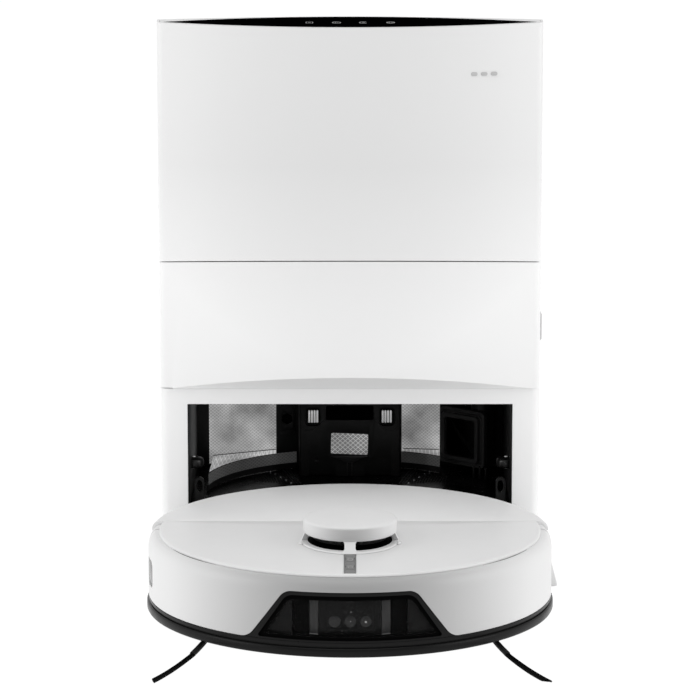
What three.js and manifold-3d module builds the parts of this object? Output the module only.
// Robot vacuum with its self-emptying, mop-washing docking station.
// Millimetres, +Z up. Origin on the floor under the middle of the whole object.
// The robot stands in front of the station (towards -Y), ready to reverse into the bay.

import * as THREE from 'three';
import { mergeVertices } from 'three/addons/utils/BufferGeometryUtils.js';
import Module from 'manifold-3d';

const wasm = await Module();
wasm.setup();

// ---- driving dimensions -------------------------------------------------

const GAP = 0.3;

// station
const STATION_WIDTH = 350;
const STATION_DEPTH = 250;
const FRAME_Y = 62;
const BACK_Y = FRAME_Y + STATION_DEPTH;
const HALF = STATION_WIDTH / 2;
const WALL = 3;
const BULGE = 25;
const FRONT_RADIUS = (HALF * HALF + BULGE * BULGE) / (2 * BULGE);
const LOWER_BOTTOM_Z = 4;
const LOWER_TOP_Z = 171.5;
const MID_BOTTOM_Z = 172;
const SEAM_Z = 290;
const SEAM_RISE = 0.184;
const FRONT_TOP_Z = 508.8;
const PANEL_TILT = THREE.MathUtils.degToRad(6.5);
const CROWN_FALL = THREE.MathUtils.degToRad(6.5);
const PANEL_BACK_Y = FRAME_Y + 27;
const BAY_HALF = 150;
const BAY_DEPTH = 200;
const BAY_TOP_Z = 160;
const OPENING_TOP_Z = 157;
const BAY_BACK_Y = FRAME_Y + BAY_DEPTH;
const SHELF_Z = 55;
const DOCKED_Y = -42;
const BASIN_Y = FRAME_Y + 60;
const BASIN_RADIUS = 137;
const TOWER_FRONT_Y = FRAME_Y + 150;
const DUCT_X = 130;
const DUCT_Y = FRAME_Y + 182;
const PORT_ANGLE = Math.atan2(-37, 42);

// robot
const ROBOT_Y = -128;
const BODY_RADIUS = 175.6;
const BAND_TOP_Z = 30;
const DECK_RADIUS = 166;
const DECK_Z = 86.5;
const COVER_SEAM_Y = 22;
const BUMPER_END_Y = 2;
const REAR_START_Y = 5.5;
const TURRET_Y = -45;
const TURRET_RADIUS = 40.2;
const SKIRT_STRETCH = 0.19;
const WHEEL_RADIUS = 36;
const WHEEL_Y = 12;
const WHEEL_X = 115;
const BRUSH_X = 118.5;
const BRUSH_Y = -101;
const BRUSH_LENGTH = 99;
const CASTER_Y = -58;
const MOP_X = 62.5;
const MOP_Y = 95;
const MOP_RADIUS = 61;

// ---- materials ----------------------------------------------------------

function material(color, roughness, metalness = 0) {
  return new THREE.MeshStandardMaterial({ color, roughness, metalness });
}

const WHITE = material(0xeeeeee, 0.35);
const TRIM_BLACK = material(0x141416, 0.3);
const SATIN_BLACK = material(0x1c1c1f, 0.5);
const GLASS_BLACK = material(0x050506, 0.08);
const GREY = material(0x8a8c8f, 0.4);
const FILM = material(0xb9bbbd, 0.3, 0.4);
const STEEL = material(0xd0d2d4, 0.25, 1);
const RUBBER = material(0x1a1a1a, 0.85);
const TANK = material(0x9aa3ab, 0.2);
const PAPER = material(0xe5e0d2, 0.9);
const MOP = material(0x6c7f94, 0.95);

// ---- solids -------------------------------------------------------------

function solid(geometry) {
  const bare = geometry.index ? geometry.toNonIndexed() : geometry.clone();
  bare.deleteAttribute('normal');
  bare.deleteAttribute('uv');
  const merged = mergeVertices(bare, 1e-4);
  const mesh = new wasm.Mesh({
    numProp: 3,
    vertProperties: new Float32Array(merged.attributes.position.array),
    triVerts: new Uint32Array(merged.index.array),
  });
  return new wasm.Manifold(mesh);
}

function cut(body, ...tools) {
  return tools.reduce((result, tool) => result.subtract(tool), body);
}

function join(body, ...others) {
  return others.reduce((result, other) => result.add(other), body);
}

function common(body, ...others) {
  return others.reduce((result, other) => result.intersect(other), body);
}

function geometryOf(body) {
  const mesh = body.getMesh();
  const geometry = new THREE.BufferGeometry();
  const positions = new Float32Array(mesh.vertProperties);
  geometry.setAttribute('position', new THREE.BufferAttribute(positions, mesh.numProp));
  geometry.setIndex(new THREE.BufferAttribute(new Uint32Array(mesh.triVerts), 1));
  geometry.computeVertexNormals();
  return geometry;
}

function part(group, name, body, finish) {
  const mesh = new THREE.Mesh(geometryOf(body), finish);
  mesh.name = name;
  group.add(mesh);
  return mesh;
}

function block(x0, x1, y0, y1, z0, z1) {
  const geometry = new THREE.BoxGeometry(x1 - x0, y1 - y0, z1 - z0);
  geometry.translate((x0 + x1) / 2, (y0 + y1) / 2, (z0 + z1) / 2);
  return solid(geometry);
}

function slab(shape, z0, z1, curveSegments = 6) {
  const geometry = new THREE.ExtrudeGeometry(shape, {
    depth: z1 - z0,
    bevelEnabled: false,
    curveSegments,
  });
  geometry.translate(0, 0, z0);
  return solid(geometry);
}

function lathe(profile, segments, x = 0, y = 0) {
  const points = profile.map(([r, z]) => new THREE.Vector2(r, z));
  const geometry = new THREE.LatheGeometry(points, segments);
  geometry.rotateX(Math.PI / 2);
  geometry.translate(x, y, 0);
  return solid(geometry);
}

function disc(radius, z0, z1, x = 0, y = 0, segments = 32) {
  return lathe([[0, z0], [radius, z0], [radius, z1], [0, z1]], segments, x, y);
}

function ring(outer, inner, z0, z1, x = 0, y = 0, segments = 32) {
  const profile = [[inner, z0], [outer, z0], [outer, z1], [inner, z1], [inner, z0]];
  return lathe(profile, segments, x, y);
}

function rod(radius, x0, x1, y, z, segments = 16) {
  const geometry = new THREE.CylinderGeometry(radius, radius, x1 - x0, segments);
  geometry.rotateZ(Math.PI / 2);
  geometry.translate((x0 + x1) / 2, y, z);
  return solid(geometry);
}

function rodY(radius, x, y0, y1, z, segments = 16) {
  const geometry = new THREE.CylinderGeometry(radius, radius, y1 - y0, segments);
  geometry.translate(x, (y0 + y1) / 2, z);
  return solid(geometry);
}

function roundedRect(x0, x1, y0, y1, radius) {
  const shape = new THREE.Shape();
  shape.moveTo(x0 + radius, y0);
  shape.lineTo(x1 - radius, y0);
  shape.absarc(x1 - radius, y0 + radius, radius, -Math.PI / 2, 0);
  shape.lineTo(x1, y1 - radius);
  shape.absarc(x1 - radius, y1 - radius, radius, 0, Math.PI / 2);
  shape.lineTo(x0 + radius, y1);
  shape.absarc(x0 + radius, y1 - radius, radius, Math.PI / 2, Math.PI);
  shape.lineTo(x0, y0 + radius);
  shape.absarc(x0 + radius, y0 + radius, radius, Math.PI, 1.5 * Math.PI);
  return shape;
}

// A closed outline in the YZ plane, carried from x0 to x1.
function prismX(points, x0, x1) {
  const shape = new THREE.Shape(points.map(([y, z]) => new THREE.Vector2(y, z)));
  const geometry = new THREE.ExtrudeGeometry(shape, { depth: x1 - x0, bevelEnabled: false });
  geometry.rotateX(Math.PI / 2);
  geometry.rotateZ(Math.PI / 2);
  geometry.translate(x0, 0, 0);
  return solid(geometry);
}

// A closed outline in the XZ plane, carried from y0 to y1.
function prismY(points, y0, y1) {
  const shape = new THREE.Shape(points.map(([x, z]) => new THREE.Vector2(x, z)));
  const geometry = new THREE.ExtrudeGeometry(shape, { depth: y1 - y0, bevelEnabled: false });
  geometry.rotateX(Math.PI / 2);
  geometry.translate(0, y1, 0);
  return solid(geometry);
}

// The pieces that a drawing mirrors take side = -1 for the left one and +1 for the right.
function sided(side, near, far) {
  return side > 0 ? [near, far] : [-far, -near];
}

function sidedBlock(side, near, far, y0, y1, z0, z1) {
  const [x0, x1] = sided(side, near, far);
  return block(x0, x1, y0, y1, z0, z1);
}

// ---- station: lower housing and base ------------------------------------

const station = new THREE.Group();

function lowerHousing() {
  const outside = roundedRect(-HALF, HALF, FRAME_Y, BACK_Y, 8);
  const inside = roundedRect(-HALF + WALL, HALF - WALL, FRAME_Y + WALL, BACK_Y - WALL, 5);
  const shell = cut(
    slab(outside, LOWER_BOTTOM_Z, LOWER_TOP_Z),
    slab(inside, LOWER_BOTTOM_Z - 1, LOWER_TOP_Z - WALL),
    block(-BAY_HALF, BAY_HALF, FRAME_Y - 1, FRAME_Y + WALL + 1, 0, OPENING_TOP_Z),
    disc(14, LOWER_TOP_Z - WALL - 1, LOWER_TOP_Z + 1, DUCT_X, DUCT_Y, 20),
    block(-140.3, -109.7, BACK_Y - WALL - 1, BACK_Y + 1, 24.7, 45.3),
  );
  part(station, 'lower_housing', shell, WHITE);
}

function basePlate() {
  const plate = slab(roundedRect(-HALF + 1, HALF - 1, FRAME_Y + 0.5, BACK_Y - 1, 7), 1.8, 3.7, 3);
  const tongue = slab(roundedRect(-146, 146, FRAME_Y - 62, FRAME_Y + 20, 10), 1.8, 3.7, 3);
  part(station, 'base_plate', join(plate, tongue), SATIN_BLACK);
  part(station, 'rubber_foot', block(-150, 150, BACK_Y - 30, BACK_Y - 12, 0, 1.5), RUBBER);
}

function bayLiner() {
  const skin = 2.5;
  const top = BAY_TOP_Z + skin;
  const side = BAY_HALF + skin;
  const outside = block(-side, side, FRAME_Y + WALL + GAP, BAY_BACK_Y + skin, 4, top);
  const rollerShelves = [-1, 1].flatMap((hand) => [
    sidedBlock(hand, side - 0.5, side + 9, FRAME_Y + 52, FRAME_Y + 68, 79, 82.5),
    sidedBlock(hand, side - 0.5, side + 9, FRAME_Y + 52, FRAME_Y + 68, 95.5, 99),
  ]);
  const rollerSlots = [-1, 1].map((hand) => (
    sidedBlock(hand, BAY_HALF - 1, side + 1, FRAME_Y + 50, FRAME_Y + 70, 82.6, 95.4)
  ));
  const liner = cut(
    join(outside, ...rollerShelves),
    block(-BAY_HALF, BAY_HALF, FRAME_Y - 1, BAY_BACK_Y, 0, BAY_TOP_Z),
    disc(14, BAY_TOP_Z - 1, top + 1, DUCT_X, DUCT_Y, 20),
    ...rollerSlots,
  );
  const plate = join(
    block(-69, -54.5, BAY_BACK_Y - 4, BAY_BACK_Y + 1, 87, 115),
    liner,
  );
  const socket = cut(plate, rodY(6, -61.5, BAY_BACK_Y - 5, BAY_BACK_Y - 1, 101));
  part(station, 'bay_liner', socket, TRIM_BLACK);
}

// The tray follows the rear of the docked robot and carries ribs that scrub the two mops.
function washTray() {
  const outline = block(-145, 145, FRAME_Y - 60, FRAME_Y + 82, 4, 6.6);
  const reach = disc(178, 3, 8, 0, DOCKED_Y, 64);
  const tray = common(outline, reach);
  const mopY = DOCKED_Y + MOP_Y;
  const basins = [-1, 1].map((hand) => disc(64, 5.2, 9, hand * MOP_X, mopY, 32));
  const ribs = [-1, 1].flatMap((hand) => [0, 1, 2].map((index) => {
    const geometry = new THREE.BoxGeometry(110, 4, 2);
    geometry.rotateZ((index * Math.PI) / 3 + Math.PI / 2);
    geometry.translate(hand * MOP_X, mopY, 6);
    return common(solid(geometry), disc(60, 4, 9, hand * MOP_X, mopY, 24));
  }));
  part(station, 'wash_tray', join(cut(tray, ...basins), ...ribs), SATIN_BLACK);
}

function trayShelf() {
  const clear = 0.5;
  const edge = BAY_HALF - clear;
  const front = FRAME_Y + WALL + 1;
  const back = BAY_BACK_Y - clear;
  const solidShelf = cut(
    block(-edge, edge, front, back, 4, SHELF_Z),
    disc(181, 0, SHELF_Z + 5, 0, DOCKED_Y, 64),
  );
  const hollow = cut(
    block(-edge + WALL, edge - WALL, front + WALL, back - WALL, 0, SHELF_Z - WALL),
    disc(184, -1, SHELF_Z + 5, 0, DOCKED_Y, 64),
  );
  part(station, 'tray_shelf', cut(solidShelf, hollow), TRIM_BLACK);
}

function basinWall(name, x0, x1, topZ) {
  const strip = ring(BASIN_RADIUS + 2, BASIN_RADIUS, SHELF_Z + GAP, topZ, 0, BASIN_Y, 64);
  const span = block(x0, x1, BASIN_Y, BAY_BACK_Y, SHELF_Z, topZ + 1);
  part(station, name, common(strip, span), FILM);
}

// ---- station: charging tower and bay fittings ---------------------------

function contactTower() {
  const front = TOWER_FRONT_Y;
  const sideCut = (hand) => prismY([
    [hand * 26, 128],
    [hand * 46, 128],
    [hand * 46, 103],
    [hand * 36, 94],
    [hand * 30, 94],
    [hand * 26, 103],
  ], front - 1, front + 9);
  const tower = cut(
    block(-50, 50, front, BAY_BACK_Y - GAP, SHELF_Z + GAP, BAY_TOP_Z - GAP),
    sideCut(-1),
    sideCut(1),
    block(-23.6, 23.6, front - 1, front + 3, 109.4, 125.6),
    block(-18.8, 18.8, front - 1, front + 1.3, 75.6, 98.4),
  );
  part(station, 'contact_tower', tower, SATIN_BLACK);
  part(station, 'ir_window', block(-23, 23, front - 1, front + 2.5, 110, 125), GLASS_BLACK);
}

function contact(name, x) {
  const front = TOWER_FRONT_Y;
  const plate = block(x - 5.4, x + 5.4, front + 3, front + 5.5, 106.5, 120.5);
  const ribs = [-3.9, -1.3, 1.3, 3.9].map((shift) => (
    block(x + shift - 0.8, x + shift + 0.8, front + 1, front + 3.5, 107, 120)
  ));
  part(station, name, join(plate, ...ribs), STEEL);
}

function reflectors() {
  const back = BAY_BACK_Y - GAP;
  const film = (name, x0, x1, y, z0, z1) => {
    part(station, name, block(x0, x1, y - 1, y, z0, z1), FILM);
  };
  film('reflector_left', -138.5, -72.6, back, 57, BAY_TOP_Z - 1);
  film('reflector_right', 50.8, 88.3, back, 57, BAY_TOP_Z - 1);
  film('reflector_center', -18.4, 18.4, TOWER_FRONT_Y + 1, 76, 98);
}

function suctionPort() {
  const half = 28;
  const frame = cut(
    join(
      block(-half, half, 0, 5, -half, half),
      block(-half + 5, half - 5, -4, 1, -half + 5, half - 5),
    ),
    block(-half + 9, half - 9, -6, 6, -half + 9, half - 9),
  );
  const mesh = part(station, 'suction_port', frame, RUBBER);
  mesh.position.set(109, FRAME_Y + 176.5, 88);
  mesh.rotation.z = PORT_ANGLE;
}

function dustDuct() {
  const bore = 10;
  const stub = (radius, y0, y1) => {
    const geometry = new THREE.CylinderGeometry(radius, radius, y1 - y0, 16);
    geometry.translate(0, (y0 + y1) / 2, 0);
    geometry.rotateZ(PORT_ANGLE);
    geometry.translate(DUCT_X - 3, DUCT_Y - 3.3, 88);
    return solid(geometry);
  };
  const duct = cut(
    join(disc(12, 74, 185.7, DUCT_X, DUCT_Y, 20), stub(11.5, -7, 6)),
    disc(bore, 77, 190, DUCT_X, DUCT_Y, 20),
    stub(9, -20, 4),
  );
  part(station, 'dust_duct', duct, SATIN_BLACK);
}

function guideRoller(name, side) {
  const x = side * (BAY_HALF - 3);
  const y = FRAME_Y + 60;
  const profile = [[0, 83.5], [6, 83.5], [9, 86], [9, 92], [6, 94.5], [0, 94.5]];
  part(station, name, lathe(profile, 24, x, y), SATIN_BLACK);
}

// ---- station: middle, with the dust bag behind its door ------------------

// The front of the station above the bay is one shallow arc between rounded corners.
function bulgedOutline(inset, backY, side = HALF - inset) {
  const radius = FRONT_RADIUS - inset;
  const centreY = FRAME_Y - BULGE + FRONT_RADIUS;
  const cornerX = side - 9;
  const reach = Math.asin(cornerX / radius);
  const corner = 8;
  const shape = new THREE.Shape();
  shape.moveTo(-side, backY - corner);
  shape.lineTo(-side, FRAME_Y + 4 + inset);
  shape.quadraticCurveTo(
    -side,
    centreY - radius * Math.cos(reach) + 1.2,
    -cornerX,
    centreY - radius * Math.cos(reach),
  );
  shape.absarc(0, centreY, radius, -Math.PI / 2 - reach, -Math.PI / 2 + reach, false);
  shape.quadraticCurveTo(
    side,
    centreY - radius * Math.cos(reach) + 1.2,
    side,
    FRAME_Y + 4 + inset,
  );
  shape.lineTo(side, backY - corner);
  shape.absarc(side - corner, backY - corner, corner, 0, Math.PI / 2);
  shape.lineTo(-side + corner, backY);
  shape.absarc(-side + corner, backY - corner, corner, Math.PI / 2, Math.PI);
  return shape;
}

const DOOR_BACK_Y = FRAME_Y + 4;

function midHousing() {
  const front = DOOR_BACK_Y + GAP;
  const outside = roundedRect(-HALF, HALF, front, BACK_Y, 3);
  const inside = roundedRect(-HALF + WALL, HALF - WALL, front + WALL, BACK_Y - WALL, 3);
  const shell = cut(
    slab(outside, MID_BOTTOM_Z, SEAM_Z - 0.4, 3),
    slab(inside, MID_BOTTOM_Z + WALL, SEAM_Z - 0.4 - WALL, 3),
    block(-160, 160, front - 1, front + WALL + 1, MID_BOTTOM_Z + 8, SEAM_Z - 8),
    disc(14, MID_BOTTOM_Z - 1, MID_BOTTOM_Z + WALL + 1, DUCT_X, DUCT_Y, 20),
    block(HALF - WALL - 1, HALF + 1, FRAME_Y + 11.4, FRAME_Y + 26.6, 210.6, 244.4),
  );
  part(station, 'mid_housing', shell, WHITE);
}

// The joint over the door climbs towards the front, so from above it reads as a straight line.
function overSeam(lift) {
  return prismX([
    [FRAME_Y - 60, SEAM_Z + lift + 60 * SEAM_RISE],
    [FRAME_Y, SEAM_Z + lift],
    [BACK_Y + 60, SEAM_Z + lift],
    [BACK_Y + 60, 620],
    [FRAME_Y - 60, 620],
  ], -HALF - 5, HALF + 5);
}

// Its underside rises towards the front, so the lower edge reads as an arc.
function dustDoor() {
  const bottom = MID_BOTTOM_Z;
  const top = SEAM_Z - 0.6;
  const centreRise = 14.5;
  const outside = slab(bulgedOutline(0, DOOR_BACK_Y + 20), bottom, top + 8, 10);
  const behind = block(-HALF - 1, HALF + 1, DOOR_BACK_Y, DOOR_BACK_Y + 60, bottom - 1, top + 9);
  const slope = prismX([
    [FRAME_Y - 2, bottom],
    [FRAME_Y - BULGE - 10, bottom + centreRise * (BULGE + 8) / (BULGE - 2)],
    [FRAME_Y - BULGE - 10, bottom - 5],
    [FRAME_Y - 2, bottom - 5],
  ], -HALF - 5, HALF + 5);
  const hollow = common(
    slab(bulgedOutline(WALL, DOOR_BACK_Y + 20), bottom + 22, top - 6, 10),
    block(-HALF + 12, HALF - 12, 0, DOOR_BACK_Y + 5, bottom, top),
  );
  const hingeRelief = block(-HALF - 1, -HALF + 12, FRAME_Y - 5, FRAME_Y + 3, bottom - 1, bottom + 1);
  const roundBack = slab(roundedRect(-HALF, HALF, 0, DOOR_BACK_Y, 2), bottom - 1, top + 9, 4);
  const door = common(cut(outside, behind, slope, hollow, hingeRelief, overSeam(-0.6)), roundBack);
  part(station, 'dust_door', door, WHITE);
}

function doorLatch() {
  const latch = prismX([
    [FRAME_Y + 12, 211],
    [FRAME_Y + 26, 211],
    [FRAME_Y + 26, 244],
    [FRAME_Y + 12, 244],
  ], HALF - 8, HALF - 1);
  const tab = prismY([
    [HALF - 2, 211],
    [HALF + 1.8, 216],
    [HALF + 1.8, 239],
    [HALF - 2, 244],
  ], FRAME_Y + 12, FRAME_Y + 26);
  part(station, 'door_latch', join(latch, tab), GREY);
}

function dustBag() {
  const bag = cut(
    slab(roundedRect(-10, 165, FRAME_Y + 30, BACK_Y - 22, 25), 192, 280, 4),
    disc(14, 190, 204, DUCT_X, DUCT_Y, 20),
  );
  part(station, 'dust_bag', bag, PAPER);
}

function stationFan() {
  const body = join(disc(45, 176, 250, -95, FRAME_Y + 140, 28), disc(30, 249, 268, -95, FRAME_Y + 140, 20));
  const fan = cut(body, disc(20, 240, 270, -95, FRAME_Y + 140, 24));
  part(station, 'station_fan', fan, SATIN_BLACK);
}

function powerInlet() {
  const inlet = cut(
    block(-140, -110, BACK_Y - 24, BACK_Y - 0.5, 25, 45),
    rodY(5, -129.5, BACK_Y - 14, BACK_Y + 1, 35),
    rodY(5, -120.5, BACK_Y - 14, BACK_Y + 1, 35),
  );
  part(station, 'power_inlet', inlet, SATIN_BLACK);
}

// ---- station: top, with the tanks under a crowned lid --------------------

// Everything under the crown: a front plane tilted to the user, then a cone that falls away.
function underCrown(drop) {
  const tipY = FRAME_Y;
  const sagitta = PANEL_BACK_Y - tipY;
  const ridgeRadius = (HALF * HALF + sagitta * sagitta) / (2 * sagitta);
  const ridgeZ = FRONT_TOP_Z + sagitta * Math.tan(PANEL_TILT) - drop;
  const reach = 320;
  const low = ridgeZ - 300;
  const cone = lathe([
    [0, low],
    [ridgeRadius + reach, low],
    [ridgeRadius + reach, ridgeZ - reach * Math.tan(CROWN_FALL)],
    [ridgeRadius, ridgeZ],
    [0, ridgeZ],
  ], 120, 0, PANEL_BACK_Y - ridgeRadius);
  const rise = Math.tan(PANEL_TILT);
  const frontPlane = prismX([
    [FRAME_Y - 60, low],
    [BACK_Y + 60, low],
    [BACK_Y + 60, FRONT_TOP_Z - drop + (STATION_DEPTH + 60) * rise],
    [FRAME_Y - 60, FRONT_TOP_Z - drop - 60 * rise],
  ], -HALF - 10, HALF + 10);
  return common(cone, frontPlane);
}

const SKIN = 2.5;

function upperHousing() {
  const floor = block(-HALF, HALF, 0, FRAME_Y + 8, SEAM_Z, SEAM_Z + WALL + 6);
  const shell = cut(
    common(
      slab(bulgedOutline(0, BACK_Y), SEAM_Z + GAP, 530, 10),
      overSeam(GAP),
      underCrown(0),
    ),
    cut(slab(bulgedOutline(SKIN, BACK_Y - SKIN), SEAM_Z + WALL, 540, 10), floor),
  );
  part(station, 'upper_housing', shell, WHITE);
}

function panelOutline(inset) {
  const tipX = HALF - SKIN - 1 - 4 * inset;
  const frontRadius = FRONT_RADIUS - 4 - inset;
  const centreY = FRAME_Y - BULGE + FRONT_RADIUS;
  const tipY = centreY - Math.sqrt(frontRadius * frontRadius - tipX * tipX);
  const backY = PANEL_BACK_Y - inset;
  const sagitta = backY - tipY;
  const backRadius = (tipX * tipX + sagitta * sagitta) / (2 * sagitta);
  const frontReach = Math.asin(tipX / frontRadius);
  const backReach = Math.asin(tipX / backRadius);
  const shape = new THREE.Shape();
  shape.absarc(0, centreY, frontRadius, -Math.PI / 2 - frontReach, -Math.PI / 2 + frontReach, false);
  shape.absarc(0, backY - backRadius, backRadius, Math.PI / 2 - backReach, Math.PI / 2 + backReach, false);
  return shape;
}

function topLid() {
  const inset = SKIN + GAP;
  const plate = cut(
    common(slab(bulgedOutline(inset, BACK_Y - 3.5), 470, 530, 10), underCrown(0)),
    underCrown(5),
    common(slab(panelOutline(0), 470, 530, 20), cut(block(-200, 200, 0, 320, 460, 540), underCrown(2.4))),
  );
  part(station, 'top_lid', plate, WHITE);
  const panel = cut(
    common(slab(panelOutline(0.5), 470, 530, 20), underCrown(0)),
    underCrown(2),
  );
  part(station, 'control_panel', panel, GLASS_BLACK);
}

function tank(name, side, finish) {
  const [x0, x1] = sided(side, 3, 167);
  const front = FRAME_Y + 12;
  const back = BACK_Y - 12;
  const bottom = SEAM_Z + WALL + GAP;
  const top = 470;
  const outside = slab(roundedRect(x0, x1, front, back, 14), bottom, top, 4);
  const inside = slab(roundedRect(x0 + 3, x1 - 3, front + 3, back - 3, 11), bottom + 3, top - 3, 4);
  const mouth = disc(30, top - 5, top + 1, side * 85, FRAME_Y + 80);
  part(station, name, cut(outside, inside, mouth), finish);
}

lowerHousing();
basePlate();
bayLiner();
washTray();
trayShelf();
basinWall('basin_wall_left', -135, -52, 73);
basinWall('basin_wall_right', 52, 88, 73);
contactTower();
contact('contact_left', -35.6);
contact('contact_right', 35.6);
reflectors();
suctionPort();
dustDuct();
guideRoller('guide_roller_left', -1);
guideRoller('guide_roller_right', 1);
midHousing();
dustDoor();
doorLatch();
dustBag();
stationFan();
powerInlet();
upperHousing();
topLid();
tank('clean_tank', -1, TANK);
tank('dirty_tank', 1, TANK);

// ---- robot: outer shells -------------------------------------------------

const robot = new THREE.Group();
robot.position.y = ROBOT_Y;

const SMOOTH = 64;
const FAR = 300;

function inFrontOf(y) {
  return block(-FAR, FAR, -FAR, y, -FAR, FAR);
}

function behind(y) {
  return block(-FAR, FAR, y, FAR, -FAR, FAR);
}

const WALL_PROFILE = [
  [172.6, BAND_TOP_Z + GAP],
  [BODY_RADIUS, BAND_TOP_Z + GAP],
  [BODY_RADIUS, 72],
  [175.1, 76],
  [173.6, 79.5],
  [170.9, 82.2],
  [167.6, 83.2],
  [160, 83.2],
  [160, 81.2],
  [166.6, 81.2],
  [169.7, 79.5],
  [171.9, 76.5],
  [172.6, 72],
  [172.6, BAND_TOP_Z + GAP],
];

function bandProfile(inner) {
  return [
    [inner, 18],
    [175.7, 18],
    [177.1, 20],
    [177.1, 25],
    [174.7, 26],
    [175.5, 27.2],
    [175.5, BAND_TOP_Z],
    [inner, BAND_TOP_Z],
    [inner, 18],
  ];
}

// The camera window in the nose is a trapezium that widens downwards.
function noseOutline(inset) {
  return [
    [-54.4 + inset, 73 - inset],
    [54.4 - inset, 73 - inset],
    [78.6 - inset, 40],
    [85.5 - inset, 29],
    [-85.5 + inset, 29],
    [-78.6 + inset, 40],
  ];
}

function glassOutline(inset) {
  return [
    [-49 + inset, 66 - inset],
    [49 - inset, 66 - inset],
    [72.5 - inset, 34.4 + inset],
    [-72.5 + inset, 34.4 + inset],
  ];
}

function noseCut(outline) {
  return prismY(outline, -FAR, -100);
}

function bumper() {
  const shell = cut(
    common(lathe(WALL_PROFILE, SMOOTH), inFrontOf(BUMPER_END_Y)),
    noseCut(noseOutline(0)),
    block(-FAR, -150, -44, -18, 42, 66),
  );
  part(robot, 'bumper', shell, WHITE);

  const band = common(lathe(bandProfile(171.5), SMOOTH), inFrontOf(BUMPER_END_Y));
  const surround = common(
    ring(175.1, 172.9, BAND_TOP_Z - 1, 73, 0, 0, SMOOTH),
    noseCut(noseOutline(GAP)),
  );
  part(robot, 'bumper_trim', cut(join(band, surround), noseCut(glassOutline(0))), TRIM_BLACK);

  const glass = common(ring(174.5, 173.1, 30, 70, 0, 0, SMOOTH), noseCut(glassOutline(GAP)));
  part(robot, 'sensor_window', glass, GLASS_BLACK);

  const sideWindow = common(
    ring(175.1, 173.1, 42.3, 65.7, 0, 0, SMOOTH),
    block(-FAR, -150, -43.7, -18.3, 30, 70),
  );
  part(robot, 'wall_sensor_window', sideWindow, GREY);
}

function sideShell() {
  const shell = cut(
    common(lathe(WALL_PROFILE, SMOOTH), behind(REAR_START_Y)),
    block(-FAR, FAR, COVER_SEAM_Y - GAP, FAR, 77.5, 100),
    block(150, FAR, 8, 32, 20, 56.2),
  );
  part(robot, 'side_shell', shell, WHITE);
}

function frontDeck() {
  const plate = lathe([
    [0, 83.6],
    [165.2, 83.6],
    [DECK_RADIUS, 84.4],
    [DECK_RADIUS, 85.2],
    [165.2, 86.2],
    [164, DECK_Z],
    [0, DECK_Z],
  ], SMOOTH);
  const pocket = block(-5.3, 5.3, -163.3, -95.7, 84.5, 90);
  part(robot, 'front_deck', cut(common(plate, inFrontOf(COVER_SEAM_Y - 0.7)), pocket), WHITE);
}

function rearCover() {
  const cover = lathe([
    [0, 83.6],
    [165.1, 83.6],
    [169.1, 82.5],
    [171.9, 80.2],
    [172.6, 77.9],
    [175.4, 77.9],
    [175.4, 80.5],
    [174.3, 83.5],
    [171.9, 85.7],
    [168.6, DECK_Z],
    [0, DECK_Z],
  ], SMOOTH);
  part(robot, 'rear_cover', common(cover, behind(COVER_SEAM_Y + GAP)), WHITE);
}

function dustFlap() {
  const wedge = prismY([
    [171.6, 55.5],
    [175.7, 55.5],
    [182, 32],
    [181, 30.6],
    [171.6, 30.6],
  ], -11.2, 11.2);
  const mesh = part(robot, 'dust_flap', wedge, WHITE);
  mesh.rotation.z = Math.asin(20 / BODY_RADIUS);
}

// ---- robot: turret and buttons ------------------------------------------

// The skirt under the cap is round behind and reaches further forward in front.
function skirt(profile) {
  const round = lathe(profile, 40);
  const stretched = round.warp((point) => {
    if (point[1] < 0) {
      point[1] *= 1 + SKIRT_STRETCH * (95.2 - point[2]) / 8.4;
    }
  });
  return stretched.translate([0, TURRET_Y, 0]);
}

function turret() {
  const inner = 36.5;
  const cap = lathe([
    [0, 100.5],
    [inner, 100.5],
    [inner, 95],
    [TURRET_RADIUS, 95],
    [TURRET_RADIUS, 104.8],
    [39.4, 106.3],
    [37.6, 107],
    [0, 107],
  ], 40, 0, TURRET_Y);
  const wall = skirt([
    [inner, 86.8],
    [42.5, 86.8],
    [42.5, 87.6],
    [39.2, 95.2],
    [inner, 95.2],
    [inner, 86.8],
  ]);
  const windows = [-1, 1].map((hand) => join(
    sidedBlock(hand, 4.6, 60, TURRET_Y - 60, TURRET_Y - 6, 87.5, 94.7),
    sidedBlock(hand, 18, 60, TURRET_Y + 6, TURRET_Y + 60, 87.5, 94.7),
  ));
  part(robot, 'turret', join(cap, cut(wall, ...windows)), WHITE);
  const head = cut(
    join(disc(32, 88.6, 94.6, 0, TURRET_Y), disc(12, 87, 89, 0, TURRET_Y)),
    block(-20, 20, TURRET_Y - 40, TURRET_Y - 28, 90, 96),
  );
  part(robot, 'lidar_head', head, GLASS_BLACK);
}

function buttons() {
  const slot = (y) => block(-3.7, 3.7, y - 7.7, y + 7.7, 84, 88);
  const key = (name, y) => {
    part(robot, name, block(-3.4, 3.4, y - 7.4, y + 7.4, 85.3, 86.8), GREY);
  };
  const strip = cut(block(-5, 5, -163, -96, 84.8, 86.6), slot(-117), slot(-143));
  part(robot, 'button_strip', strip, GREY);
  key('power_button', -117);
  key('home_button', -143);
}

// ---- robot: chassis and drive ---------------------------------------------

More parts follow.
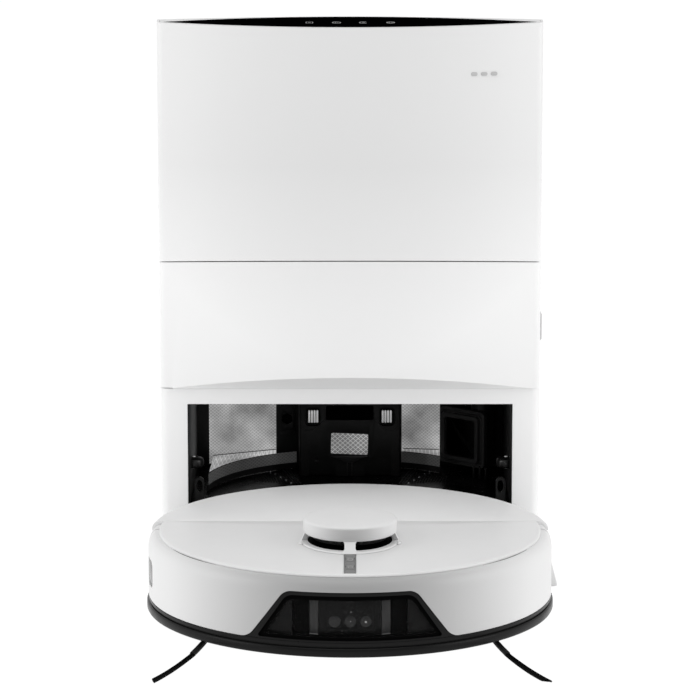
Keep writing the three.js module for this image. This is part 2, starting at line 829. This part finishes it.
function chassis() {
  const plate = lathe([
    [0, 12.5],
    [154, 12.5],
    [168, 17.5],
    [168, 20.5],
    [153, 15.5],
    [0, 15.5],
  ], SMOOTH);
  const room = lathe([[0, 12.5], [154, 12.5], [167, 17.1], [167, 40], [0, 40]], SMOOTH);
  const rim = ring(168, 165, 19, BAND_TOP_Z, 0, 0, SMOOTH);
  const rearBand = common(lathe(bandProfile(167), SMOOTH), behind(REAR_START_Y));
  const brushBox = block(-82, 82, -24, 24, 12.5, 42);
  const casterCup = common(disc(29, 12.5, 37, 0, CASTER_Y), room);
  const mopDishes = [-1, 1].map((hand) => common(
    disc(66, 12.5, 22, hand * MOP_X, MOP_Y, 40),
    room,
  ));
  const holes = [-1, 1].flatMap((hand) => [
    sidedBlock(hand, 96, 130, WHEEL_Y - 52, WHEEL_Y + 39, 0, 24),
    lathe([[0, 0], [26, 0], [26, 11], [12, 19], [0, 19]], 24, hand * BRUSH_X, BRUSH_Y),
    disc(4.6, 15, 24, hand * BRUSH_X, BRUSH_Y, 16),
    disc(63.5, 0, 19.5, hand * MOP_X, MOP_Y, 40),
    disc(7, 0, 40, hand * MOP_X, MOP_Y),
  ]);
  const body = cut(
    join(plate, rim, rearBand, brushBox, casterCup, ...mopDishes),
    ...holes,
    block(-76.5, 76.5, -21.5, 21.5, 0, 39.5),
    rod(3.4, -79.5, 79.5, 0, 20.5, 16),
    block(-20, 20, 10, 22, 30, 50),
    disc(26.5, 0, 33.5, 0, CASTER_Y),
    disc(4.4, 0, 50, 0, CASTER_Y, 16),
  );
  part(robot, 'chassis', body, SATIN_BLACK);
}

function wheelSet(label, side) {
  const [armNear, armFar] = sided(side, 97.5, 101.5);
  const pivotY = WHEEL_Y - 48;
  const pivotZ = WHEEL_RADIUS + 8;
  const arm = join(
    prismX([
      [pivotY, pivotZ + 7],
      [WHEEL_Y, WHEEL_RADIUS + 7],
      [WHEEL_Y, WHEEL_RADIUS - 7],
      [pivotY, pivotZ - 7],
    ], armNear, armFar),
    rod(7, armNear, armFar, pivotY, pivotZ),
    rod(7, armNear, armFar, WHEEL_Y, WHEEL_RADIUS),
    rod(4.5, ...sided(side, 101, 122), WHEEL_Y, WHEEL_RADIUS),
  );
  part(robot, `wheel_arm_${label}`, arm, SATIN_BLACK);
  const wheel = cut(
    rod(WHEEL_RADIUS, ...sided(side, 103, 127), WHEEL_Y, WHEEL_RADIUS, 36),
    rod(4.9, ...sided(side, 102, 123), WHEEL_Y, WHEEL_RADIUS),
    rod(24, ...sided(side, 124, 128), WHEEL_Y, WHEEL_RADIUS),
  );
  part(robot, `wheel_${label}`, wheel, RUBBER);
}

function caster() {
  const axleY = CASTER_Y + 8;
  const axleZ = 14;
  const cheeks = [-1, 1].map((hand) => join(
    sidedBlock(hand, 8, 10.2, CASTER_Y - 5, axleY + 4, 12.7, 31),
    rod(2.2, ...sided(hand, 4, 9), axleY, axleZ, 12),
  ));
  const lugs = [-1, 1].map((hand) => rod(4, ...sided(hand, 8, 10.2), axleY, axleZ, 16));
  const crown = join(disc(13, 29.5, 32.6, 0, CASTER_Y), disc(4, 32, 36.5, 0, CASTER_Y, 16));
  part(robot, 'caster_fork', join(crown, ...cheeks, ...lugs), SATIN_BLACK);
  const wheel = cut(rod(14, -7, 7, axleY, axleZ), rod(2.5, -8, 8, axleY, axleZ, 12));
  part(robot, 'caster_wheel', wheel, RUBBER);
}

function sideBrush(label, side) {
  const hub = join(disc(9, 13.8, 18.6, 0, 0, 20), disc(4, 18, 24, 0, 0, 12));
  const arm = (hand) => prismY([
    [0, 17],
    [hand * 9, 15.6],
    [hand * 29, 9.4],
    [hand * 60, 5],
    [hand * BRUSH_LENGTH, 1.6],
    [hand * BRUSH_LENGTH, 0.5],
    [hand * 60, 1.6],
    [hand * 29, 4.8],
    [hand * 9, 10.8],
    [0, 13.8],
  ], -3.5, 3.5);
  const mesh = part(robot, `side_brush_${label}`, join(hub, arm(-1), arm(1)), RUBBER);
  mesh.position.set(side * BRUSH_X, BRUSH_Y, 0);
  mesh.rotation.z = side * Math.atan2(-88, 45);
}

function mainBrush() {
  const fins = [0, 1, 2, 3, 4].map((index) => {
    const geometry = new THREE.BoxGeometry(146, 3, 18);
    geometry.translate(0, 0, 9);
    geometry.rotateX((index * 2 * Math.PI) / 5);
    geometry.translate(0, 0, 20.5);
    return solid(geometry);
  });
  const core = join(rod(13, -75, 75, 0, 20.5, 20), rod(3, -79, 79, 0, 20.5, 12));
  part(robot, 'main_brush', join(core, ...fins), GREY);
}

function mops() {
  const bar = join(
    block(-90, 90, MOP_Y - 9, MOP_Y + 9, 31, 37),
    ...[-1, 1].map((hand) => disc(14, 30, 39, hand * MOP_X, MOP_Y, 24)),
  );
  const bores = [-1, 1].map((hand) => disc(4.4, 20, 45, hand * MOP_X, MOP_Y, 16));
  part(robot, 'mop_lift_frame', cut(bar, ...bores), SATIN_BLACK);
  const mop = (name, side) => {
    const body = join(
      disc(MOP_RADIUS - 0.2, 11.2, 19.2, side * MOP_X, MOP_Y, 40),
      disc(4, 18, 40, side * MOP_X, MOP_Y, 16),
    );
    part(robot, name, body, MOP);
  };
  mop('mop_left', -1);
  mop('mop_right', 1);
}

function internals() {
  part(robot, 'battery', slab(roundedRect(-76, 76, -140, -90, 8), 18, 40, 3), TRIM_BLACK);
  const fan = cut(disc(23, 43, 78, 50, 50), disc(10, 70, 80, 50, 50, 20));
  part(robot, 'fan_unit', fan, SATIN_BLACK);
  const bin = cut(
    slab(roundedRect(-60, 60, 80, 154, 8), 42, 80, 3),
    slab(roundedRect(-57, 57, 83, 151, 6), 45, 77, 3),
    block(-18, 18, 70, 84, 50, 70),
  );
  part(robot, 'dust_bin', bin, TANK);
  const lens = (x, radius) => rodY(radius, x, -167.3, -165, 47.6, 20);
  const camera = join(
    block(-31, 31, -165.5, -150, 38, 67),
    lens(-12.8, 5.3),
    lens(0, 5),
    lens(12.8, 4.8),
  );
  part(robot, 'camera_module', camera, SATIN_BLACK);
}

bumper();
sideShell();
frontDeck();
rearCover();
dustFlap();
turret();
buttons();
chassis();
wheelSet('left', -1);
wheelSet('right', 1);
caster();
sideBrush('left', -1);
sideBrush('right', 1);
mainBrush();
mops();
internals();

const model = new THREE.Group();
model.add(station, robot);

export default model;
